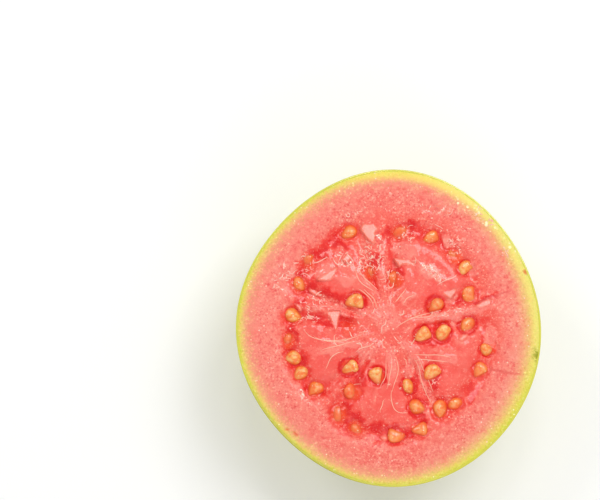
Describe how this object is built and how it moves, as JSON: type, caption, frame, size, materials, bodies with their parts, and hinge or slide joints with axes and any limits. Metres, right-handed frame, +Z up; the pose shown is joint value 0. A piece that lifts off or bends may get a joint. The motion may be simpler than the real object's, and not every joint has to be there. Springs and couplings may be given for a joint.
{
  "type": "guava half",
  "caption": "Half of a ripe pink guava cut across its middle, with seeds in five curved rows; lies on its rounded end with the cut face up.",
  "frame": {"origin": "on the surface that the fruit rests on, under the middle of the fruit", "axes": "+Z up from the stalk end to the cut face, +Y along the longer way across the cut face"},
  "size_m": [0.0724, 0.0752, 0.0413],
  "materials": {
    "flesh": "satin",
    "skin": "satin",
    "seed": "gloss"
  },
  "bodies": {
    "root": {"guava_half": "flesh"}
  },
  "joints": []
}
